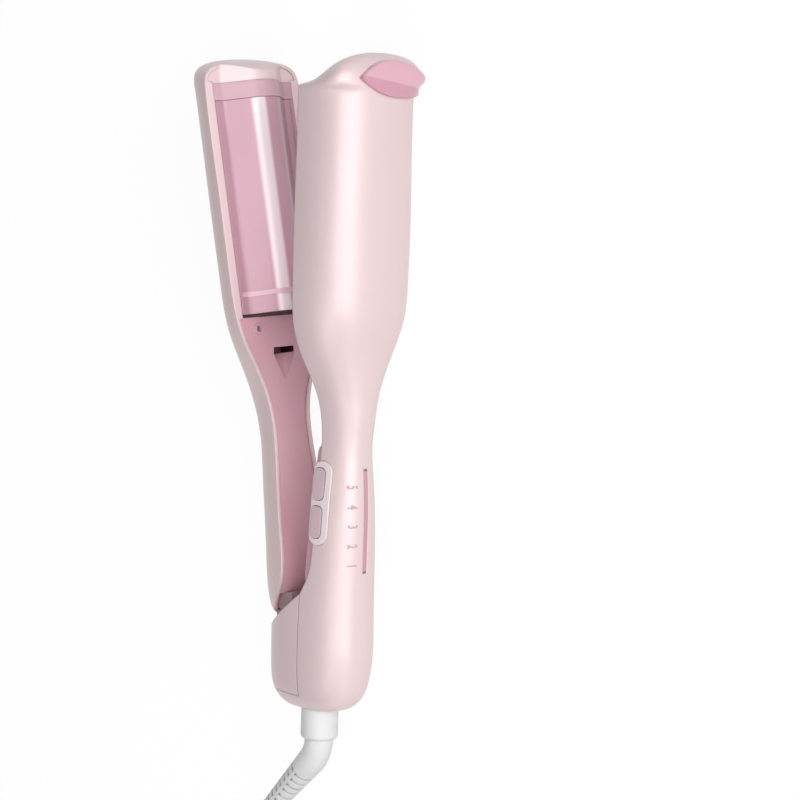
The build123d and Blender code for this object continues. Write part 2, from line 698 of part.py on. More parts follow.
slot_x, slot_length, slot_width = 170.5, 2.6, 13.0
ramp_length, ramp_radius = 12.5, 7.0
liner_inset = 1.0
arm_liner_edge = drop([p for p in moving_rim if 52.0 < p[0] < 175.0], liner_inset) + [(plate_start - 1.5, 1.9)]
with BuildPart() as arm_inner_shell:
    add(moving_liner)
    add(side_block(arm_liner_edge, stock / 2), mode=Mode.INTERSECT)
    add(side_block(drop(arm_liner_edge, liner_wall), stock / 2) & moving_skin(-wall - fit - 1.5), mode=Mode.SUBTRACT)
    add(side_block(drop(arm_liner_edge, 9.0), stock / 2), mode=Mode.SUBTRACT)
    for place in (-1, 1):
        pillar = post(boss_x, boss_y, boss_end, boss_z * place, 2.6) & moving_liner
        add(pillar)
    add(slab(slot_x - ramp_length - 3, slot_x + 3, 3.2, 11, -8.5, 8.5) & moving_liner)
    # slot across the liner with a half-cone running down from it
    add(slab(slot_x - slot_length / 2, slot_x + slot_length / 2, -5, 12, -slot_width / 2, slot_width / 2),
        mode=Mode.SUBTRACT)
    with BuildSketch(across(slot_x - slot_length / 2, 1.6)):
        Circle(ramp_radius)
    with BuildSketch(across(slot_x - slot_length / 2 - ramp_length, 2.6)):
        Circle(0.8)
    loft(mode=Mode.SUBTRACT)
    for place in (-1, 1):
        add(post(boss_x, boss_y - 1, boss_y + 2.4, boss_z * place, 1.5), mode=Mode.SUBTRACT)
    add(arm_screws.part, mode=Mode.SUBTRACT)

# ---------------------------------------------------------------- knuckle of the moving arm
with BuildPart() as arm_knuckle:
    add(slab(hinge_x, 70.0, knuckle_y0, knuckle_y1, -knuckle_half_width, knuckle_half_width))
    add(slab(skirt_start, 60.0, knuckle_y0, knuckle_y1, -skirt_half_width, skirt_half_width))
    under_liner = side_block(drop(arm_liner_edge, liner_wall), stock / 2)
    exposed = slab(0, arm_liner_edge[0][0], -60, 60, -60, 60)
    add(under_liner + exposed, mode=Mode.INTERSECT)
    inside_arm = moving_liner + slab(0, 49.8, -60, 60, -60, 60)
    add(inside_arm, mode=Mode.INTERSECT)
    add(upright(hinge_x, hinge_y, -knuckle_half_width, knuckle_half_width, eye_radius))
    # room for the spring in the middle of the eye
    spring_room = spring_radius + spring_wire + 0.5
    add(slab(hinge_x - 12, hinge_x + spring_room, hinge_y - 12, hinge_y + 12,
             -spring_length / 2 - 1.6, spring_length / 2 + 1.6), mode=Mode.SUBTRACT)
    with Locations((hinge_x, hinge_y)):
        Hole(pin_radius + pin_clearance)

with BuildPart() as arm_wave_plate:
    add(plate(-plate_thickness, 0.0, -plate_thickness - 3.0, plate_lip))

with BuildPart() as arm_plate_band:
    add(wave_band(band_start, band_start + band_length, 0.0, band_raise, plate_half_width - plate_flange - 0.1))

with BuildPart() as arm_tip_cap:
    add(end_cap(cap_raise, 12.0, moving_liner, hood_start))

inner_crest = floor_y - barrel_height + plate_thickness
heater_half = 9.0
heater_top = inner_crest + (barrel_radius - plate_thickness) * (1 - cos(radians(42)))
with BuildPart() as arm_heater:
    add(slab(heater_start, heater_start + heater_length, heater_top, heater_top + heater_thickness,
             -heater_half, heater_half))
    fillet(arm_heater.edges().filter_by(Axis.X), 0.5)

with BuildPart() as arm_heater_clamp:
    clamp_x0, clamp_x1 = heater_start - 3, heater_start + heater_length + 3
    add(slab(clamp_x0, clamp_x1, arm_clamp_y - 2.2, arm_clamp_y, -22, 22))
    add(slab(clamp_x0, clamp_x1, heater_top + heater_thickness, arm_clamp_y, -7.5, 7.5))
    add(slab(clamp_x0 - 1, clamp_x1 + 1, heater_top + heater_thickness + 2, arm_clamp_y + 1, -5.5, 5.5)
        - sum((slab(p - 4.5, p + 4.5, -20, 20, -8, 8) for p in arm_posts[1:]),
              slab(arm_posts[0] - 4.5, arm_posts[0] + 4.5, -20, 20, -8, 8)), mode=Mode.SUBTRACT)

with BuildPart() as arm_tip_grip:
    add(leaf(moving_skin, 1, jaw_length - length, moving_outside))

# ---------------------------------------------------------------- cord, elbow first
def along(point, heading, distance):
    """Point reached from another in the level plane."""
    return (point[0] - distance * cos(heading), point[1] + distance * sin(heading))


lean = radians(elbow_angle)
sleeve_start = base_start - swivel_gap
bend_start = (sleeve_start - sleeve_length, base_centre)
bend_end = (bend_start[0] - elbow_bend * sin(lean), base_centre + elbow_bend * (1 - cos(lean)))
relief_end = along(bend_end, lean, relief_length)
with BuildPart() as cord_elbow:
    with BuildSketch(across(sleeve_start, base_centre)):
        Circle(sleeve_radius)
    extrude(amount=-sleeve_length)
    fillet(cord_elbow.edges().group_by(Axis.X)[0], 1.6)
    # neck through the socket, held by a flange inside the base
    neck_end = base_start + socket_length + 0.2
    with BuildSketch(across(sleeve_start, base_centre)):
        Circle(neck_radius)
    extrude(amount=neck_end + flange_thickness - sleeve_start)
    with BuildSketch(across(neck_end, base_centre)):
        Circle(neck_radius + 1.3)
    extrude(amount=flange_thickness)
    # bend
    with BuildSketch(across(bend_start[0], base_centre)):
        Circle(elbow_radius)
    revolve(axis=Axis((bend_start[0], base_centre + elbow_bend, 0), (0, 0, -1)), revolution_arc=elbow_angle)
    # tapered relief with cross ribs
    relief_plane = Plane(origin=(*bend_end, 0), x_dir=(0, 0, 1), z_dir=(-cos(lean), sin(lean), 0))
    tip_plane = Plane(origin=(*relief_end, 0), x_dir=(0, 0, 1), z_dir=(-cos(lean), sin(lean), 0))
    with BuildSketch(relief_plane):
        Circle(elbow_radius)
    with BuildSketch(tip_plane):
        Circle(relief_end_radius)
    loft()
    rib_pitch = relief_length / (relief_ribs + 2)
    for rib in range(relief_ribs):
        distance = rib_pitch * (rib + 1.6)
        here = elbow_radius + (relief_end_radius - elbow_radius) * distance / relief_length
        groove_plane = Plane(
            origin=(*along(bend_end, lean, distance), 0), x_dir=(0, 0, 1), z_dir=(-cos(lean), sin(lean), 0)
        )
        with BuildSketch(groove_plane):
            Circle(here + 1)
            Circle(here - groove_depth, mode=Mode.SUBTRACT)
            Rectangle(2 * (here + 2), 1.6, mode=Mode.SUBTRACT)
        extrude(amount=groove_width, mode=Mode.SUBTRACT)

table_z = -lie_height
cord_z = table_z + cord_radius
turns_mean = [coil_radius + (turn - (coil_turn_width - 1) / 2) * 2 * cord_radius for turn in range(coil_turn_width)]
cord_entry = coil_y + turns_mean[-1]
cord_route = [
    (*relief_end, 0),
    (*along(relief_end, lean, 20), 0),
    (-101.0, 75.0, -11.5),
    (-128.0, 87.5, -22.5),
    (-156.0, cord_entry, cord_z),
    (-178.0, cord_entry + 0.4, cord_z),
]


def run_between(first, second):
    """Distance between two points."""
    return sum((b - a) ** 2 for a, b in zip(first, second)) ** 0.5


def bend_radius(before, corner, after):
    """Radius that uses 0.45 of the shorter run beside a corner."""
    a, b = run_between(before, corner), run_between(corner, after)
    turn = sum((c - p) * (n - c) for p, c, n in zip(before, corner, after)) / (a * b)
    half = (1 - turn) ** 0.5 / (1 + turn) ** 0.5
    return 0.45 * min(a, b) / half


cord_radii = [bend_radius(*cord_route[i - 1:i + 2]) for i in range(1, len(cord_route) - 1)]
print("cord bend radii", [round(r, 1) for r in cord_radii])
with BuildPart() as power_cord:
    with BuildLine() as cord_line:
        FilletPolyline(*cord_route, radius=cord_radii)
    with BuildSketch(Plane(origin=cord_route[0], z_dir=(-cos(lean), sin(lean), 0))):
        Circle(cord_radius)
    sweep()
section = pi * cord_radius ** 2
cord_line_length = sum(edge.length for edge in cord_line.edges())
print("cord run", round(cord_line_length, 1), "volume share", round(power_cord.part.volume / section / cord_line_length, 4))

coil_inner = coil_radius - coil_turn_width * cord_radius
coil_outer = coil_radius + coil_turn_width * cord_radius
coil_height = 2 * cord_radius * coil_layers
tie_width, tie_thickness, tie_angle = 9.0, 1.2, 330.0
tie_middle = Plane(
    origin=(coil_x + coil_radius * cos(radians(tie_angle)), coil_y + coil_radius * sin(radians(tie_angle)), table_z),
    x_dir=(cos(radians(tie_angle)), sin(radians(tie_angle)), 0), z_dir=(0, 0, 1),
)
with BuildPart() as cord_tie:
    with BuildSketch(tie_middle):
        Rectangle(coil_outer - coil_inner + 2 * tie_thickness, tie_width)
    extrude(amount=coil_height + tie_thickness)
    with BuildSketch(tie_middle.offset(1.0)):
        Rectangle(coil_outer - coil_inner, tie_width)
    extrude(amount=coil_height - 1.0, mode=Mode.SUBTRACT)

with BuildPart() as cord_coil:
    with BuildSketch(Plane.XY.offset(table_z)):
        with Locations((coil_x, coil_y)):
            Circle(coil_outer)
            Circle(coil_inner, mode=Mode.SUBTRACT)
    extrude(amount=coil_height)
    fillet(cord_coil.edges().filter_by(GeomType.CIRCLE), cord_radius * 0.8)
    add(cord_tie.part, mode=Mode.SUBTRACT)

plug_z = table_z + plug_height / 2


def plug_plane(distance, shift=0.0):
    """Plane across the plug at a distance from its nose, facing the way the pins point."""
    return Plane(
        origin=(coil_x - turns_mean[-1] + shift, coil_y - plug_past_coil - distance, plug_z),
        x_dir=(1, 0, 0), z_dir=(0, -1, 0),
    )


plug_face = plug_nose + plug_length
with BuildPart() as plug_pins:
    for side in (-1, 1):
        with BuildSketch(plug_plane(plug_face - pin_root, side * pin_pitch / 2)):
            Circle(pin_root_radius)
        extrude(amount=pin_root)
        with BuildSketch(plug_plane(plug_face, side * pin_pitch / 2)):
            Circle(plug_pin_radius)
        extrude(amount=plug_pin_length)
    chamfer(plug_pins.edges().group_by(Axis.Y)[0], 0.8)

with BuildPart() as plug_body:
    with BuildSketch(plug_plane(0)):
        Circle(relief_end_radius)
    with BuildSketch(plug_plane(plug_nose)):
        Circle(plug_nose_radius)
    loft()
    with BuildSketch(plug_plane(plug_nose)):
        RectangleRounded(plug_nose_radius * 2.6, plug_nose_radius * 2.2, plug_nose_radius)
    with BuildSketch(plug_plane(plug_face - plug_face_length)):
        RectangleRounded(plug_width, plug_height, plug_height / 2 - fit)
    loft()
    with BuildSketch(plug_plane(plug_face - plug_face_length)):
        RectangleRounded(plug_width, plug_height, plug_height / 2 - fit)
    extrude(amount=plug_face_length)
    add(plug_pins.part, mode=Mode.SUBTRACT)

# ---------------------------------------------------------------- writing the pieces
fixed_pieces = {
    "main_outer_shell": main_outer_shell, "main_inner_shell": main_inner_shell, "base_cover": base_cover,
    "hinge_frame": hinge_frame, "hinge_pin": hinge_pin, "hinge_spring": hinge_spring,
    "cord_socket": cord_socket, "main_wave_plate": main_wave_plate, "main_plate_band": main_plate_band,
    "main_tip_cap": main_tip_cap, "main_tip_grip": main_tip_grip, "main_heater": main_heater,
    "main_heater_clamp": main_heater_clamp, "thermal_fuse": thermal_fuse, "control_board": control_board,
    "board_parts": board_parts, "button_switches": button_switches, "button_bezel": button_bezel,
    "scale_window": scale_window, "cover_screws": cover_screws, "handle_screws": handle_screws,
    "main_clamp_screws": main_clamp_screws, "power_button": power_button,
    "temperature_button": temperature_button,
}
moving_pieces = {
    "arm_outer_shell": arm_outer_shell, "arm_inner_shell": arm_inner_shell, "arm_knuckle": arm_knuckle,
    "arm_wave_plate": arm_wave_plate, "arm_plate_band": arm_plate_band, "arm_tip_cap": arm_tip_cap,
    "arm_tip_grip": arm_tip_grip, "arm_heater": arm_heater, "arm_heater_clamp": arm_heater_clamp,
    "arm_screws": arm_screws,
}
cord_pieces = {
    "cord_elbow": cord_elbow, "power_cord": power_cord, "cord_coil": cord_coil, "cord_tie": cord_tie,
    "plug_body": plug_body, "plug_pins": plug_pins,
}
for piece in moving_pieces.values():
    piece.part = piece.part.rotate(hinge_axis, open_angle)
for name, piece in {**fixed_pieces, **moving_pieces, **cord_pieces}.items():
    piece.part = piece.part.moved(Location((-origin_x, -origin_y, lie_height)))
    piece.part.label = name
    print(name, len(piece.part.solids()), round(piece.part.volume, 1))
    export_step(piece.part, f"parts/{name}.step")
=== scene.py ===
import json
import logging
import math
from dataclasses import dataclass, replace
from enum import Enum

import bmesh
import bpy
from mathutils import Euler, Matrix, Vector
from mathutils.bvhtree import BVHTree


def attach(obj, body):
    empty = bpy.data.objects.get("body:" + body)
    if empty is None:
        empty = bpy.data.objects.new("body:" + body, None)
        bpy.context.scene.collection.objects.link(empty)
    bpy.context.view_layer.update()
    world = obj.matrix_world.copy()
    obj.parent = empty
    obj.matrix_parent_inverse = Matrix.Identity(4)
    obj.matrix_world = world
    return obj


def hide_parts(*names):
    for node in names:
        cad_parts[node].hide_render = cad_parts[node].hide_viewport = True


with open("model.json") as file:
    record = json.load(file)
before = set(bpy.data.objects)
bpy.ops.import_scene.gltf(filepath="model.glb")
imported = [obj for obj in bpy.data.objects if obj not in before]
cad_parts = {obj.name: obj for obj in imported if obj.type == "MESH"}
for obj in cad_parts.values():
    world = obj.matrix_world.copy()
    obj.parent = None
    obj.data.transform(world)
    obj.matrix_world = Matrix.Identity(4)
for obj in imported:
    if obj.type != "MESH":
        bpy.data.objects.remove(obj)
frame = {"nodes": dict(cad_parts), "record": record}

Tree = bpy.types.NodeTree
Socket = bpy.types.NodeSocket
Point = tuple[float, float, float]
Colour = tuple[float, float, float, float]

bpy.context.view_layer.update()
LOG = logging.getLogger("hair_waver")
MM = 0.001

# The tool's own drawing is in millimetres: X runs from the base to the tip, Z from the middle plane up.
ORIGIN_X, ORIGIN_Y, ORIGIN_Z = 125.17, 25.85, -30.33  # the shared frame's origin in that drawing
HINGE_X, HINGE_Y = 24, 14                             # the axis of the arm's hinge in it
OPEN_DEGREES = 13                                     # opening of the moving arm at rest


# ---------------------------------------------------------------- small helpers
def linear(hex_colour: str) -> Colour:
    """Turns an sRGB hex colour into the linear values that a shader takes.

    Args:
        hex_colour: six hex digits, such as "f6dde0".

    Returns:
        Red, green, blue and alpha, linear.
    """
    channels = [int(hex_colour[i:i + 2], 16) / 255 for i in (0, 2, 4)]
    return (*[c / 12.92 if c <= 0.04045 else ((c + 0.055) / 1.055) ** 2.4 for c in channels], 1.0)


def grey(value: float) -> Colour:
    """Gives a linear grey."""
    return (value, value, value, 1)


def from_working(x: float, y: float, z: float) -> Vector:
    """Turns a point of the tool's own drawing into the shared frame."""
    return Vector((x - ORIGIN_X, y - ORIGIN_Y, z - ORIGIN_Z)) * MM


def opened(x: float, y: float, z: float) -> Vector:
    """Turns a point of the closed moving arm to where it is with the tool open."""
    turn = Matrix.Rotation(math.radians(OPEN_DEGREES), 3, "Z")
    moved = turn @ Vector((x - HINGE_X, y - HINGE_Y, z))
    return from_working(moved.x + HINGE_X, moved.y + HINGE_Y, moved.z)


def linked(name: str, data: bpy.types.ID) -> bpy.types.Object:
    """Makes an object that shows some data, and puts it in the scene."""
    made = bpy.data.objects.new(name, data)
    bpy.context.scene.collection.objects.link(made)
    return made


def emptied(owner: bpy.types.Material | bpy.types.World) -> Tree:
    """Turns on the nodes of a material or a world and gives its tree, without any node."""
    owner.use_nodes = True
    owner.node_tree.nodes.clear()
    return owner.node_tree


def add_node(tree: Tree, kind: str, inputs: dict | None = None, **settings: object) -> bpy.types.Node:
    """Adds a node with its settings and its inputs.

    Args:
        tree: the node tree that gets the node.
        kind: the node's type, such as "ShaderNodeBump".
        inputs: for each input's name or number, a value or an output socket to link.
        settings: attributes of the node, such as operation.

    Returns:
        The new node.
    """
    node = tree.nodes.new(kind)
    for name, value in settings.items():
        setattr(node, name, value)
    for name, value in (inputs or {}).items():
        socket = node.inputs[name]
        if isinstance(value, Socket):
            tree.links.new(value, socket)
        else:
            socket.default_value = value
    return node


def maths(tree: Tree, operation: str, *values: Socket | float) -> Socket:
    """Adds one step of arithmetic.

    Args:
        tree: the node tree that gets the step.
        operation: the step, such as "MULTIPLY".
        values: its one or two inputs.

    Returns:
        The socket that gives the result.
    """
    return add_node(tree, "ShaderNodeMath", dict(enumerate(values)), operation=operation).outputs[0]


def distance_from(tree: Tree, value: Socket, middle: float) -> Socket:
    """Gives how far a value is from a middle value, on either side of it."""
    return maths(tree, "ABSOLUTE", maths(tree, "SUBTRACT", value, middle))


def offset_from(tree: Tree, place: Socket, point: Point) -> Socket:
    """Gives the way from a point to a place."""
    return add_node(tree, "ShaderNodeVectorMath", {0: place, 1: point}, operation="SUBTRACT").outputs[0]


def along_axis(tree: Tree, place: Socket, axis: str) -> Socket:
    """Gives one coordinate of a place: X, Y or Z."""
    return add_node(tree, "ShaderNodeSeparateXYZ", {"Vector": place}).outputs[axis]


def blend(tree: Tree, share: Socket, first: Socket | Colour, second: Socket | Colour) -> Socket:
    """Blends two colours.

    Args:
        tree: the node tree that gets the step.
        share: share of the second colour.
        first: the first colour.
        second: the second colour.

    Returns:
        The socket that gives the colour.
    """
    first_colour, second_colour, result = 6, 7, 2  # the node's sockets for colours, by number
    mix = add_node(tree, "ShaderNodeMix", {
        "Factor": share, first_colour: first, second_colour: second}, data_type="RGBA")
    return mix.outputs[result]


def seen_directly(tree: Tree) -> Socket:
    """Gives 1 to what the camera sees, through glass and in glosses too, and 0 to what only throws light."""
    path = add_node(tree, "ShaderNodeLightPath")
    seen = maths(tree, "MAXIMUM", path.outputs["Is Camera Ray"], path.outputs["Is Transmission Ray"])
    return maths(tree, "MAXIMUM", seen, path.outputs["Is Glossy Ray"])


# ---------------------------------------------------------------- finishes
# The drift of colour: detail of its noise, and the values between which the second colour comes in.
DRIFT_DETAIL, DRIFT_FROM, DRIFT_TO = 3.0, 0.35, 0.7
# The grain: detail of its noise, how much of its height shows, and how far it moves the roughness.
GRAIN_DETAIL, GRAIN_STRENGTH, GLOSS_SPREAD = 2.0, 0.6, 0.03
# The painted shade in grooves: its reach, the openness at which it begins, the one at which it is full, its
# colour.
GROOVE_REACH_MM, GROOVE_OPEN, GROOVE_SHUT, PAINTED_GROOVE_SHADE = 1.6, 0.75, 0.3, "4a3338"
RAYS = 6  # samples for eased edges and for grooves
IOR = 1.5


class Grain(Enum):
    """How a mould or a tool leaves a surface: size of the grain and its height, in millimetres."""

    POLISHED = (1.6, 0.004)
    SATIN = (0.8, 0.008)
    SPARK_ERODED = (0.5, 0.02)
    DRAWN = (0.35, 0.006)


class Run(Enum):
    """Way in which the lines of a worked metal run: scale of the grain's coordinates along X, Y and Z."""

    NONE = (1.0, 1.0, 1.0)
    ALONG_TOOL = (0.04, 1.0, 1.0)
    ACROSS_TOOL = (1.0, 1.0, 0.04)


@dataclass(frozen=True)
class Finish:
    """One real material with the way in which its surface was made.

    Attributes:
        name: the material's name.
        colour: main colour, sRGB hex.
        shade: second colour, for the slow drift of colour over the surface.
        roughness: roughness of the surface.
        grain: texture left by the mould or the tool.
        run: way in which the grain is stretched.
        metallic: share of metal.
        coat: strength of the clear layer on top.
        coat_roughness: roughness of that layer.
        specular: strength of the reflection of a plastic.
        drift_mm: size of the patches in which the colour drifts.
        drift: share of the second colour where it is strongest.
        edge_mm: radius to which the edges are eased.
        crevice: share of the painted shade's colour where a groove or a seam is deepest.
    """

    name: str
    colour: str
    shade: str
    roughness: float
    grain: Grain = Grain.SATIN
    run: Run = Run.NONE
    metallic: float = 0.0
    coat: float = 0.0
    coat_roughness: float = 0.1
    specular: float = 0.5
    drift_mm: float = 30.0
    drift: float = 0.5
    edge_mm: float = 0.4
    crevice: float = 0.0

    def colours(self, tree: Tree, place: Socket) -> Socket:
        """Makes the colour of the surface.

        Args:
            tree: the material's node tree.
            place: object coordinates.

        Returns:
            The socket that gives the colour.
        """
        patches = add_node(tree, "ShaderNodeTexNoise", {
            "Vector": place, "Scale": 1 / (self.drift_mm * MM), "Detail": DRIFT_DETAIL})
        share = add_node(tree, "ShaderNodeMapRange", {
            "Value": patches.outputs["Fac"], "From Min": DRIFT_FROM, "From Max": DRIFT_TO,
            "To Max": self.drift})
        return blend(tree, share.outputs["Result"], linear(self.colour), linear(self.shade))

    def grooved(self, tree: Tree, colour: Socket) -> Socket:
        """Paints shade into a colour in grooves and seams, darkest where they are most shut in.

        Args:
            tree: the material's node tree.
            colour: colour of the open surface.

        Returns:
            The socket that gives the colour.
        """
        open_sky = add_node(
            tree, "ShaderNodeAmbientOcclusion", {"Distance": GROOVE_REACH_MM * MM}, samples=RAYS)
        shut = add_node(tree, "ShaderNodeMapRange", {
            "Value": open_sky.outputs["AO"], "From Min": GROOVE_OPEN, "From Max": GROOVE_SHUT,
            "To Max": self.crevice})
        return blend(tree, shut.outputs["Result"], colour, linear(PAINTED_GROOVE_SHADE))

    def material(self) -> bpy.types.Material:
        """Builds the material.

        Returns:
            The new material.
        """
        made = bpy.data.materials.new(self.name)
        tree = emptied(made)
        place = add_node(tree, "ShaderNodeTexCoord").outputs["Object"]
        size_mm, height_mm = self.grain.value
        stretched = add_node(tree, "ShaderNodeMapping", {"Vector": place, "Scale": self.run.value})
        grain = add_node(tree, "ShaderNodeTexNoise", {
            "Vector": stretched.outputs["Vector"], "Scale": 1 / (size_mm * MM), "Detail": GRAIN_DETAIL})
        eased = add_node(tree, "ShaderNodeBevel", {"Radius": self.edge_mm * MM}, samples=RAYS)
        bump = add_node(tree, "ShaderNodeBump", {
            "Height": grain.outputs["Fac"], "Distance": height_mm * MM, "Strength": GRAIN_STRENGTH,
            "Normal": eased.outputs["Normal"]})
        colour = self.colours(tree, place)
        if self.crevice:
            colour = self.grooved(tree, colour)
        gloss = add_node(tree, "ShaderNodeMapRange", {
            "Value": grain.outputs["Fac"], "To Min": self.roughness - GLOSS_SPREAD,
            "To Max": self.roughness + GLOSS_SPREAD})
        shader = add_node(tree, "ShaderNodeBsdfPrincipled", {
            "Base Color": colour, "Roughness": gloss.outputs["Result"], "Normal": bump.outputs["Normal"],
            "Metallic": self.metallic, "Coat Weight": self.coat, "Coat Roughness": self.coat_roughness,
            "Specular IOR Level": self.specular, "IOR": IOR})
        add_node(tree, "ShaderNodeOutputMaterial", {"Surface": shader.outputs["BSDF"]})
        return made


@dataclass(frozen=True)
class CrestLit(Finish):
    """Pearl coat on the moving wave plate, with a painted highlight: a pale line along the crest.

    The line stands for the light that catches the crest: the coat itself is one colour.

    Attributes:
        crest_colour: colour of the painted highlight.
        crest_mm: lowest and highest Z of the pale line, from the middle plane.
        soft_mm: width over which the line fades.
        cover: share of the pale colour in the middle of the line.
    """

    crest_colour: str = "fff4f8"
    crest_mm: tuple[float, float] = (2.4, 8.6)
    soft_mm: float = 2.2
    cover: float = 0.92

    def colours(self, tree: Tree, place: Socket) -> Socket:
        """Makes the colour of the plate, with the painted highlight on it; takes what Finish.colours takes.
        """
        plain = super().colours(tree, place)
        height = along_axis(tree, place, "Z")
        middle = (sum(self.crest_mm) / 2 - ORIGIN_Z) * MM
        half = (self.crest_mm[1] - self.crest_mm[0]) / 2 * MM
        blur = self.soft_mm * MM / 2
        # painted highlight: pale within the crest's band of Z, fading at its edges
        line = add_node(tree, "ShaderNodeMapRange", {
            "Value": distance_from(tree, height, middle), "From Min": half + blur, "From Max": half - blur,
            "To Max": self.cover}, interpolation_type="SMOOTHSTEP")
        return blend(tree, line.outputs["Result"], plain, linear(self.crest_colour))


@dataclass(frozen=True)
class TintedWindow(Finish):
    """Tinted acrylic strip, darker at its two ends, where it turns into the casing.

    Attributes:
        ends_mm: X of the two ends of the strip, in the tool's own drawing.
        end_mm: length of each dark end.
        blur_mm: half the length over which a dark end begins.
        end_colour: colour of the ends.
    """

    ends_mm: tuple[float, float] = (71.6, 120.2)
    end_mm: float = 1.0
    blur_mm: float = 0.2
    end_colour: str = "9a6a74"

    def colours(self, tree: Tree, place: Socket) -> Socket:
        """Makes the colour of the strip, with its dark ends; takes what Finish.colours takes."""
        plain = super().colours(tree, place)
        x = along_axis(tree, place, "X")
        middle = sum(self.ends_mm) / 2 - ORIGIN_X
        half = (self.ends_mm[1] - self.ends_mm[0]) / 2 - self.end_mm
        end = add_node(tree, "ShaderNodeMapRange", {
            "Value": distance_from(tree, x, middle * MM), "From Min": (half - self.blur_mm) * MM,
            "From Max": (half + self.blur_mm) * MM})
        return blend(tree, end.outputs["Result"], plain, linear(self.end_colour))


@dataclass(frozen=True)
class FacetedGrip(Finish):
    """Gloss grip with a painted highlight: the facet nearer to the tip is painted paler, for the light that
    falls on it.

    Attributes:
        facet_colour: colour of the painted highlight on that facet.
        ridge: a point on the ridge.
        across: direction from the ridge into the paler facet.
        blur_mm: half the width over which the two colours meet.
    """

    facet_colour: str = "fcc3d3"
    ridge: Point = tuple(from_working(297.7, -29.6, 0))
    across: Point = (0.985, 0.0, -0.175)
    blur_mm: float = 0.4

    def colours(self, tree: Tree, place: Socket) -> Socket:
        """Makes the colour of the grip, with the painted highlight on the facet nearer to the tip; takes
        what Finish.colours takes.
        """
        plain = super().colours(tree, place)
        off = offset_from(tree, place, self.ridge)
        # painted highlight on the side of the ridge nearer to the tip
        above = add_node(tree, "ShaderNodeVectorMath", {0: off, 1: self.across}, operation="DOT_PRODUCT")
        facet = add_node(tree, "ShaderNodeMapRange", {
            "Value": above.outputs["Value"], "From Min": -self.blur_mm * MM, "From Max": self.blur_mm * MM})
        return blend(tree, facet.outputs["Result"], plain, linear(self.facet_colour))


@dataclass(frozen=True)
class SlottedLiner(Finish):
    """Liner moulding of the moving handle, with the deep shade inside its slot painted in.

    Attributes:
        slot: middle of the slot on the liner's surface.
        half_mm: half the size of the shaded box along the arm and across it.
        shade_colour: colour inside the slot.
    """

    slot: Point = tuple(opened(170.5, 2.5, 0))
    half_mm: tuple[float, float] = (1.5, 6.7)
    shade_colour: str = "3a2228"

    def colours(self, tree: Tree, place: Socket) -> Socket:
        """Makes the colour of the liner, with the shaded slot; takes what Finish.colours takes."""
        turned = add_node(tree, "ShaderNodeVectorRotate", {
            "Vector": offset_from(tree, place, self.slot), "Angle": math.radians(-OPEN_DEGREES)},
            rotation_type="Z_AXIS")
        x, y, z = add_node(tree, "ShaderNodeSeparateXYZ", {"Vector": turned.outputs[0]}).outputs
        inside = maths(tree, "GREATER_THAN", y, 0.0)
        for along, half in zip((x, z), self.half_mm):
            within = maths(tree, "LESS_THAN", maths(tree, "ABSOLUTE", along), half * MM)
            inside = maths(tree, "MULTIPLY", inside, within)
        return blend(tree, inside, super().colours(tree, place), linear(self.shade_colour))


# Pearl-pigmented ABS, satin moulded, with eased edges and shade painted into its seams.
PEARL_SHELL = Finish(
    "pearl_pigmented_abs_satin", "f8e0e2", "f5dadd", 0.42, Grain.SATIN, metallic=0.2, specular=0.35,
    drift=0.3, coat=0.4, coat_roughness=0.28, edge_mm=1.0, crevice=0.6)
# Glossier deep pink moulding, heat-resistant polyamide, inside the handles.
LINER = Finish(
    "heat_resistant_polyamide_gloss", "e3b1bd", "dca6b4", 0.3, Grain.POLISHED, coat=0.3, coat_roughness=0.15)
ARM_LINER = SlottedLiner(
    "heat_resistant_polyamide_slotted", "e9bac5", "e2aebb", 0.3, Grain.POLISHED, coat=0.3,
    coat_roughness=0.15)
# Aluminium with a pearl pink ceramic coat, drawn along the tool. The moving plate also has a painted
# highlight along its crest.
PLATE = Finish(
    "ceramic_coated_aluminium_drawn", "cfa3b2", "c99bab", 0.3, Grain.DRAWN, Run.ALONG_TOOL, metallic=0.1,
    coat=0.2, coat_roughness=0.15)
LIT_PLATE = CrestLit(
    "ceramic_coat_pale_crest", "cfa3b2", "c99bab", 0.3, Grain.DRAWN, Run.ALONG_TOOL, metallic=0.1, coat=0.2,
    coat_roughness=0.15)
# Satin heat-resistant moulding of the caps at the tips.
CAP = Finish("heat_resistant_moulding_satin", "e3bcc7", "dab0bd", 0.36, Grain.SATIN)
# Polished band across each plate near the end that is next to the handle, paler than the plate.
BAND = Finish(
    "heat_resistant_moulding_polished", "ecc6d0", "e6bcc8", 0.22, Grain.POLISHED, coat=0.5, edge_mm=0.3)
# Gloss moulded grips, the strongest pink on the tool, each with a highlight painted on the facet towards the
# tip.
GRIP = FacetedGrip(
    "tinted_abs_gloss", "e8a9be", "e3a0b7", 0.26, Grain.POLISHED, coat=0.5, coat_roughness=0.12, edge_mm=0.8)
ARM_GRIP = replace(
    GRIP, name="tinted_abs_gloss_arm", ridge=tuple(opened(297.7, 29.6, 0)), across=(0.96, 0.222, -0.175))
# Polished ABS of the buttons, and a paler one for the frame round them, both with shade painted into their
# seams.
BUTTON = Finish(
    "polished_abs", "e6ccd3", "e0c4cc", 0.26, Grain.POLISHED, coat=0.4, edge_mm=0.5, crevice=0.7)
BEZEL = replace(BUTTON, name="polished_abs_pale", colour="fff1f4", shade="fbe8ec")
WINDOW = TintedWindow(
    "tinted_acrylic_polished", "dfa6b1", "d89ba8", 0.16, Grain.POLISHED, coat=0.8, coat_roughness=0.05)
